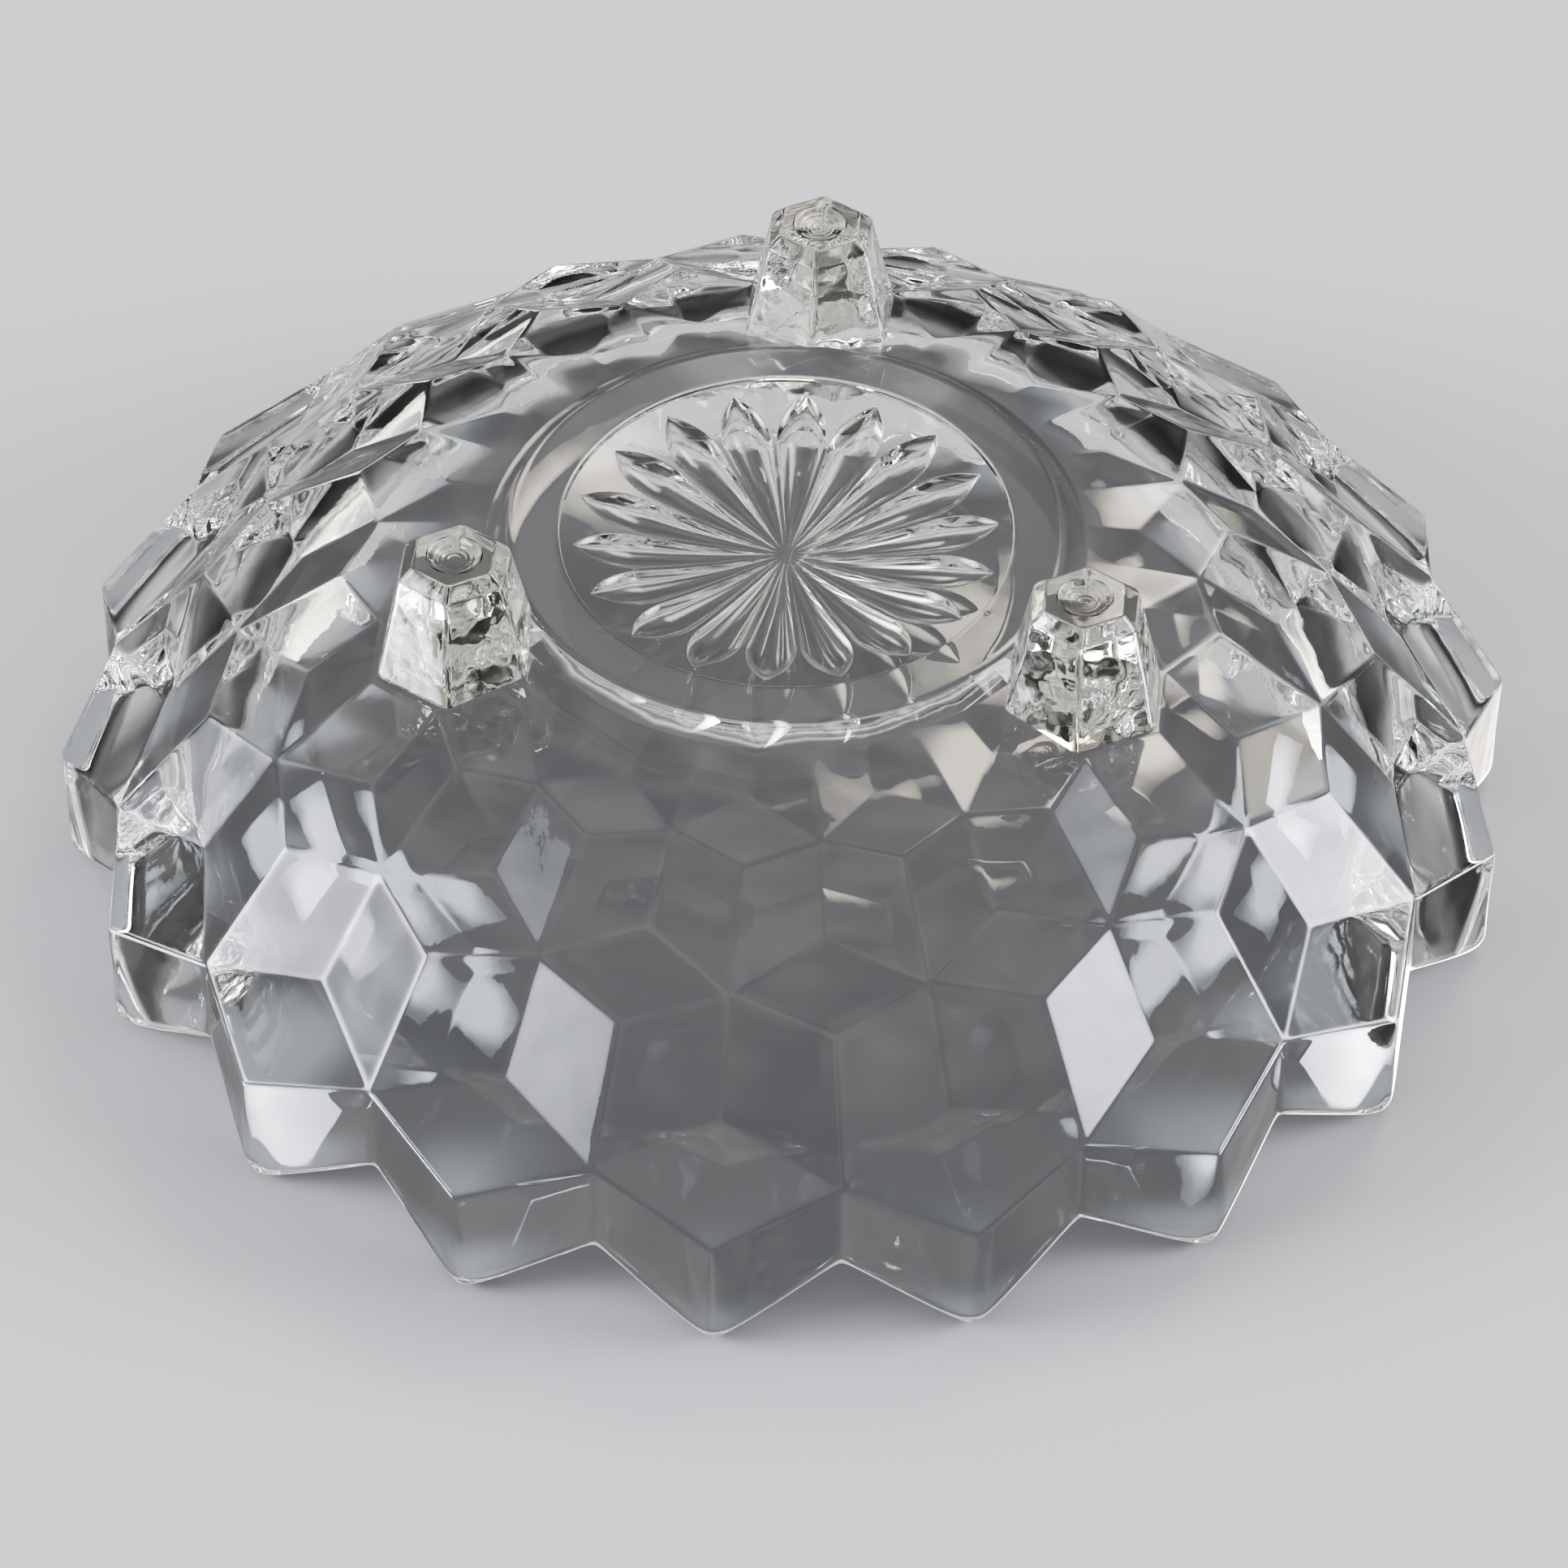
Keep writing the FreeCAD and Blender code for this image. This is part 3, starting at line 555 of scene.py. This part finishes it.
def toe_blank(number):
    """Closed toe: tapered hexagon, chamfered end and dimple."""
    profile = rounded([*TOE_PROFILE, (DIMPLE_RADIUS + DIMPLE_SHELF, 0.0)], TOE_ROUNDING)
    rings = []
    for radius, height in profile:
        flat = toe_outline(radius, WIDE_TOE_CORNER if radius > WIDE_TOE_FROM else END_CORNER)
        rings.append(np.column_stack([flat, np.full(len(flat), height)]))
    angles = np.arctan2(rings[-1][:, 1], rings[-1][:, 0])
    count = len(angles)
    for radius in DIMPLE_ROWS:
        rings.append(np.column_stack([radius * np.cos(angles), radius * np.sin(angles),
                                      np.full(count, dimple_height(radius))]))
    points = np.concatenate(rings + [np.array([[0, 0, dimple_height(0.0)]])])
    faces = []
    for row in range(len(rings) - 1):
        here, below = row * count, (row + 1) * count
        for k in range(count):
            n = (k + 1) % count
            faces.append((here + k, here + n, below + n, below + k))
    last = (len(rings) - 1) * count
    for k in range(count):
        faces.append((last + k, last + (k + 1) % count, len(points) - 1))
    faces.append(tuple(range(count))[::-1])
    points = turned_round(points + np.array([TOE_CIRCLE, 0, 0]), (number - 1) * 2 * math.pi / TOES)
    mesh = mesh_of("toe_blank_%d" % number, points, faces, np.full(len(faces), TOE + number - 1))
    open_edges = weld(mesh, TOE_WELD)
    print("toe blank %d: %d open edges" % (number, open_edges))
    return bpy.data.objects.new("toe_blank_%d" % number, mesh)


def pressed_together(dish, toes):
    """One surface of dish and toes, with nothing left inside the glass."""
    scene = bpy.context.scene
    for obj in [dish] + toes:
        scene.collection.objects.link(obj)
        for _ in range(TOE + TOES - len(obj.data.materials)):
            obj.data.materials.append(None)
    for toe in toes:
        union = dish.modifiers.new("press", "BOOLEAN")
        union.operation, union.solver, union.object = "UNION", "MANIFOLD", toe
    bpy.context.view_layer.update()
    made = bpy.data.meshes.new_from_object(dish.evaluated_get(bpy.context.evaluated_depsgraph_get()))
    for obj in [dish] + toes:
        bpy.data.objects.remove(obj)
    return made


def part_of(mesh, index, name):
    """One piece of the pressing, by its material number."""
    bm = bmesh.new()
    bm.from_mesh(mesh)
    bmesh.ops.delete(bm, geom=[f for f in bm.faces if f.material_index != index], context="FACES")
    piece = bpy.data.meshes.new(name)
    for face in bm.faces:
        face.material_index = 0
        face.smooth = True
    bm.to_mesh(piece)
    bm.free()
    obj = bpy.data.objects.new(name, piece)
    bpy.context.scene.collection.objects.link(obj)
    return obj


# ------------------------------------------------------------------ materials
SODA_GLASS_IOR = 1.52
WEAR_WIDTH = 1.1        # fine scratches and rubs, in mm; real ones are finer, and wouldn't show
WEAR_ROUGHNESS = .03    # what the worn places add
SHADOW_PASS = .52       # share of the lamps' light that gets through one glass face
PAPER_BLOTCHES = 9.0    # slow changes of tone in the paper, to the metre


def linear(hex_colour):
    """sRGB hex to linear RGBA."""
    values = [int(hex_colour[k:k + 2], 16) / 255 for k in (0, 2, 4)]
    return [v / 12.92 if v <= .04045 else ((v + .055) / 1.055) ** 2.4 for v in values] + [1.0]


def node(tree, kind, links=None, **settings):
    """Adds a node; links maps an input's name or number to the socket that feeds it."""
    made = tree.nodes.new(kind)
    for name, value in settings.items():
        if name.startswith("in_"):
            made.inputs[name[3:].replace("_", " ")].default_value = value
        else:
            setattr(made, name, value)
    for name, source in (links or {}).items():
        tree.links.new(source, made.inputs[name])
    return made


def pressed_glass(name, tint, roughness, ripple_height, ripple_width, wear_height):
    """Clear soda glass, pressed in an iron mould and fire polished. The eye gets sharp, bright
    reflections that run a little uneven, from the mould's slow ripple and from fine wear in use.
    Heights and widths are in mm."""
    material = bpy.data.materials.new(name)
    material.use_nodes = True
    tree = material.node_tree
    tree.nodes.clear()
    place = node(tree, "ShaderNodeTexCoord").outputs["Object"]
    slow = node(tree, "ShaderNodeTexNoise", {"Vector": place}, in_Detail=2.0,
                in_Scale=1 / (ripple_width * MM))
    fine = node(tree, "ShaderNodeTexNoise", {"Vector": place}, in_Detail=3.0,
                in_Scale=1 / (WEAR_WIDTH * MM))
    wear = node(tree, "ShaderNodeMapRange", {"Value": fine.outputs["Fac"]}, in_From_Min=.45, in_From_Max=.75,
                in_To_Min=roughness, in_To_Max=roughness + WEAR_ROUGHNESS)
    wave = node(tree, "ShaderNodeBump", {"Height": slow.outputs["Fac"]}, in_Strength=1.0,
                in_Distance=ripple_height * MM)
    grain = node(tree, "ShaderNodeBump", {"Height": fine.outputs["Fac"], "Normal": wave.outputs["Normal"]},
                 in_Strength=1.0, in_Distance=wear_height * MM)
    glass = node(tree, "ShaderNodeBsdfPrincipled", {"Roughness": wear.outputs["Result"],
                                                    "Normal": grain.outputs["Normal"]})
    glass.inputs["Base Color"].default_value = linear(tint)
    glass.inputs["IOR"].default_value = SODA_GLASS_IOR
    glass.inputs["Transmission Weight"].default_value = 1.0
    # The lamps' light goes on through every face by a fixed share. A real dish's shadow is paler: this
    # one is deep enough for the facets to show on a pale floor.
    passed = node(tree, "ShaderNodeBsdfTransparent")
    passed.inputs["Color"].default_value = (SHADOW_PASS, SHADOW_PASS, SHADOW_PASS, 1)
    lamp_ray = node(tree, "ShaderNodeLightPath").outputs["Is Shadow Ray"]
    mix = node(tree, "ShaderNodeMixShader",
               {0: lamp_ray, 1: glass.outputs["BSDF"], 2: passed.outputs["BSDF"]})
    node(tree, "ShaderNodeOutputMaterial", {"Surface": mix.outputs["Shader"]})
    return material


def pale_stage(name, colour):
    """Matt pale paper, the studio's roll for small glass. The eye gets an even, faintly cloudy tone.
    It shows on its front side only, and not in what the glass reflects."""
    material = bpy.data.materials.new(name)
    material.use_nodes = True
    tree = material.node_tree
    tree.nodes.clear()
    place = node(tree, "ShaderNodeTexCoord").outputs["Object"]
    path = node(tree, "ShaderNodeLightPath")
    tone = node(tree, "ShaderNodeTexNoise", {"Vector": place}, in_Scale=PAPER_BLOTCHES, in_Detail=2.0)
    shade = node(tree, "ShaderNodeMapRange", {"Value": tone.outputs["Fac"]}, in_To_Min=.97, in_To_Max=1.03)
    paper = node(tree, "ShaderNodeMix", data_type="RGBA", blend_type="MULTIPLY")
    paper.inputs[0].default_value = 1.0
    paper.inputs[6].default_value = linear(colour)
    tree.links.new(shade.outputs["Result"], paper.inputs[7])
    matt = node(tree, "ShaderNodeBsdfDiffuse", {"Color": paper.outputs[2]})
    clear = node(tree, "ShaderNodeBsdfTransparent")
    side = node(tree, "ShaderNodeNewGeometry").outputs["Backfacing"]
    bounced = node(tree, "ShaderNodeMath", {0: path.outputs["Glossy Depth"]}, operation="GREATER_THAN")
    bounced.inputs[1].default_value = .5
    hidden = node(tree, "ShaderNodeMath", {0: side, 1: bounced.outputs["Value"]}, operation="MAXIMUM")
    mix = node(tree, "ShaderNodeMixShader",
               {0: hidden.outputs["Value"], 1: matt.outputs["BSDF"], 2: clear.outputs["BSDF"]})
    node(tree, "ShaderNodeOutputMaterial", {"Surface": mix.outputs["Shader"]})
    return material


# ------------------------------------------------------------------ pieces
dish = blank_dish()
toe_blanks = [toe_blank(n) for n in range(1, TOES + 1)]
pressing = pressed_together(dish, toe_blanks)
clear_glass = pressed_glass("clear_pressed_glass", "F7F9F8", .006, .17, 14.0, .004)
toe_glass = pressed_glass("toe_pressed_glass", "F7F2E4", .012, .5, 6.5, .01)
PIECES = (("cube_bowl", BOWL, "bowl", "clear_glass", clear_glass),
          ("rayed_medallion", MEDALLION, "base_medallion", "clear_glass", clear_glass),
          ("hexagon_toe_1", TOE, "toe_1", "toe_glass", toe_glass),
          ("hexagon_toe_2", TOE + 1, "toe_2", "toe_glass", toe_glass),
          ("hexagon_toe_3", TOE + 2, "toe_3", "toe_glass", toe_glass))
for name, index, cad_node, slot, material in PIECES:
    piece = part_of(pressing, index, name)
    piece.data.materials.clear()
    piece.data.materials.append(material)
    print(name, len(piece.data.polygons), "faces")
    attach(piece, "root")
    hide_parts(cad_node)
bpy.data.meshes.remove(pressing)


# ------------------------------------------------------------------ stage
PAPER_REACH, PAPER_GAP = 12.0, .0002    # from the dish to the paper's edge, and from its ends; in m


def stage_plane(name, height, faces_up):
    """One sheet of paper, above or below the dish."""
    reach = PAPER_REACH
    corners = [(-reach, -reach, height), (reach, -reach, height), (reach, reach, height),
               (-reach, reach, height)]
    mesh = bpy.data.meshes.new(name)
    mesh.from_pydata(corners, [], [(0, 1, 2, 3) if faces_up else (3, 2, 1, 0)])
    plane = bpy.data.objects.new(name, mesh)
    bpy.context.scene.collection.objects.link(plane)
    plane.data.materials.append(pale_stage(name + "_paper", "CECECE"))
    for flag in ("visible_glossy", "visible_diffuse", "visible_shadow"):
        setattr(plane, flag, False)


stage_plane("floor", -PAPER_GAP, True)
stage_plane("table", cad_high.z + PAPER_GAP, False)

# The dish is looked at upside down, as it lies on its rim. VIEW_TURN is how far the own frame is
# turned from the viewer's: the viewer's right, away and up become this frame's axes.
VIEW_TURN = math.radians(-35.42)
TO_OWN = Matrix.Rotation(VIEW_TURN, 3, "Z") @ Matrix(((1, 0, 0), (0, -1, 0), (0, 0, -1)))


def own_point(x, y, z):
    """Point given from the viewer's side, above the table that the rim rests on, in this frame."""
    return TO_OWN @ Vector((x, y, z)) + Vector((0, 0, cad_high.z))


RADIANCE = 12.5
LAMP_DISTANCE = 1.1
LAMP_BRIGHT, LAMP_DIM = 1.5, .12        # middle and corner of a soft box, against its mean
LAMP_BRIGHT_TO, LAMP_DIM_FROM = .1, .62  # where the fading starts and ends, in widths of the box

# Name, azimuth and elevation in degrees, width and height in metres, share of RADIANCE, colour.
# Azimuth 0 is on the viewer's side, and positive is to the right.
LAMPS = (("left_box", -80, 23, .75, .5, 1.0, "F0F4FF"),
         ("right_box", 88, 21, .75, .45, 1.0, "F0F4FF"),
         ("back_box", 150, 50, .5, .35, .5, "FFF3E0"))


def soft_box(name, azimuth, elevation, width, height, share, colour, mirrored):
    """Oblong soft light aimed at the dish."""
    a, e = math.radians(azimuth), math.radians(elevation)
    away = Vector((math.sin(a) * math.cos(e), -math.cos(a) * math.cos(e), math.sin(e)))
    place = TO_OWN @ (away * LAMP_DISTANCE)
    if mirrored:
        place.z = -place.z
    lamp = bpy.data.lights.new(name, "AREA")
    lamp.shape, lamp.size, lamp.size_y = "RECTANGLE", width, height
    lamp.energy = RADIANCE * share * math.pi * width * height
    lamp.color = linear(colour)[:3]
    # A soft box is brightest in its middle and fades towards its edges.
    lamp.use_nodes = True
    tree = lamp.node_tree
    tree.nodes.clear()
    across = node(tree, "ShaderNodeNewGeometry").outputs["Parametric"]
    middle = node(tree, "ShaderNodeVectorMath", {0: across}, operation="DISTANCE")
    middle.inputs[1].default_value = (.5, .5, 0)
    fade = node(tree, "ShaderNodeMapRange", {"Value": middle.outputs["Value"]},
                interpolation_type="SMOOTHSTEP", in_From_Min=LAMP_BRIGHT_TO, in_From_Max=LAMP_DIM_FROM,
                in_To_Min=LAMP_BRIGHT, in_To_Max=LAMP_DIM)
    glow = node(tree, "ShaderNodeEmission", {"Strength": fade.outputs["Result"]})
    node(tree, "ShaderNodeOutputLight", {"Surface": glow.outputs["Emission"]})
    obj = bpy.data.objects.new(name, lamp)
    obj.location = Vector((0, 0, cad_high.z / 2)) + place
    obj.rotation_mode = "QUATERNION"
    obj.rotation_quaternion = (-place).to_track_quat("-Z", "Y")
    # The table stands between a mirrored lamp and the dish, so it isn't seen through the glass.
    obj.visible_transmission = not mirrored
    bpy.context.scene.collection.objects.link(obj)


for mirrored in (False, True):
    for lamp_name, *lamp_values in LAMPS:
        soft_box(lamp_name + ("_above" if mirrored else "_below"), *lamp_values, mirrored)

bpy.context.scene.view_settings.look = "AgX - High Contrast"
bpy.context.scene.view_settings.exposure = .3
# The glass passes the lamps' light on by SHADOW_PASS, so it isn't counted again as focused light.
bpy.context.scene.cycles.caustics_refractive = False
bpy.context.scene.cycles.caustics_reflective = False
# Light goes to and fro many times inside a toe before it gets out.
bpy.context.scene.cycles.max_bounces = 28
bpy.context.scene.cycles.glossy_bounces = 20
bpy.context.scene.cycles.transmission_bounces = 24
bpy.context.scene.cycles.transparent_max_bounces = 24

HORIZON, HORIZON_TO = .045, .12         # brightness near the horizon, and the steepness it keeps to
STUDIO, STUDIO_FROM = .34, .62          # brightness straight up or down, and where it is reached
BEYOND_PAPER = .36                      # what the camera sees past the paper's edge


def grey(level):
    return level, level, level, 1


world = bpy.data.worlds.new("studio")
bpy.context.scene.world = world
world.use_nodes = True
tree = world.node_tree
tree.nodes.clear()
direction = node(tree, "ShaderNodeTexCoord").outputs["Generated"]
split = node(tree, "ShaderNodeSeparateXYZ", {"Vector": direction})
steep = node(tree, "ShaderNodeMath", {0: split.outputs["Z"]}, operation="ABSOLUTE")
ramp = node(tree, "ShaderNodeValToRGB", {"Fac": steep.outputs["Value"]})
ramp.color_ramp.interpolation = "EASE"
low_end, high_end = ramp.color_ramp.elements
low_end.position, low_end.color = HORIZON_TO, grey(HORIZON)
high_end.position, high_end.color = STUDIO_FROM, grey(STUDIO)
# Soft light and dark areas, as the walls and cards of a studio give.
cards = node(tree, "ShaderNodeTexNoise", {"Vector": direction}, in_Scale=2.2, in_Detail=1.0)
level = node(tree, "ShaderNodeMapRange", {"Value": cards.outputs["Fac"]}, in_From_Min=.35, in_From_Max=.65,
             in_To_Min=.25, in_To_Max=1.8)
room = node(tree, "ShaderNodeMix", {6: ramp.outputs["Color"], 7: level.outputs["Result"]},
            data_type="RGBA", blend_type="MULTIPLY")
room.inputs[0].default_value = 1.0
seen = node(tree, "ShaderNodeLightPath").outputs["Is Camera Ray"]
mix = node(tree, "ShaderNodeMix", {0: seen, 6: room.outputs[2]}, data_type="RGBA")
mix.inputs[7].default_value = grey(BEYOND_PAPER)
background = node(tree, "ShaderNodeBackground", {"Color": mix.outputs[2]})
node(tree, "ShaderNodeOutputWorld", {"Surface": background.outputs["Background"]})

# ------------------------------------------------------------------ camera
VIEW_ELEVATION, VIEW_ROLL = math.radians(44.384), math.radians(.177)
VIEW_DISTANCE, VIEW_AIM = .92583, (-.000178, .005278, 0.0)
VIEW_LENS = 169.85590
camera_data = bpy.data.cameras.new("view")
camera_data.sensor_width, camera_data.lens = 36.0, VIEW_LENS
camera = bpy.data.objects.new("view", camera_data)
back = Vector((0, -math.cos(VIEW_ELEVATION), math.sin(VIEW_ELEVATION)))
right, up = Vector((1, 0, 0)), Vector((0, math.sin(VIEW_ELEVATION), math.cos(VIEW_ELEVATION)))
rolled_right = right * math.cos(VIEW_ROLL) + up * math.sin(VIEW_ROLL)
rolled_up = up * math.cos(VIEW_ROLL) - right * math.sin(VIEW_ROLL)
axes = [TO_OWN @ v for v in (rolled_right, rolled_up, back)]
turned = Matrix(axes).transposed()
place = own_point(*(Vector(VIEW_AIM) + back * VIEW_DISTANCE))
camera.matrix_world = Matrix.Translation(place) @ turned.to_4x4()
camera_data.clip_start, camera_data.clip_end = .05, 60.0
bpy.context.scene.collection.objects.link(camera)
bpy.context.scene.camera = camera
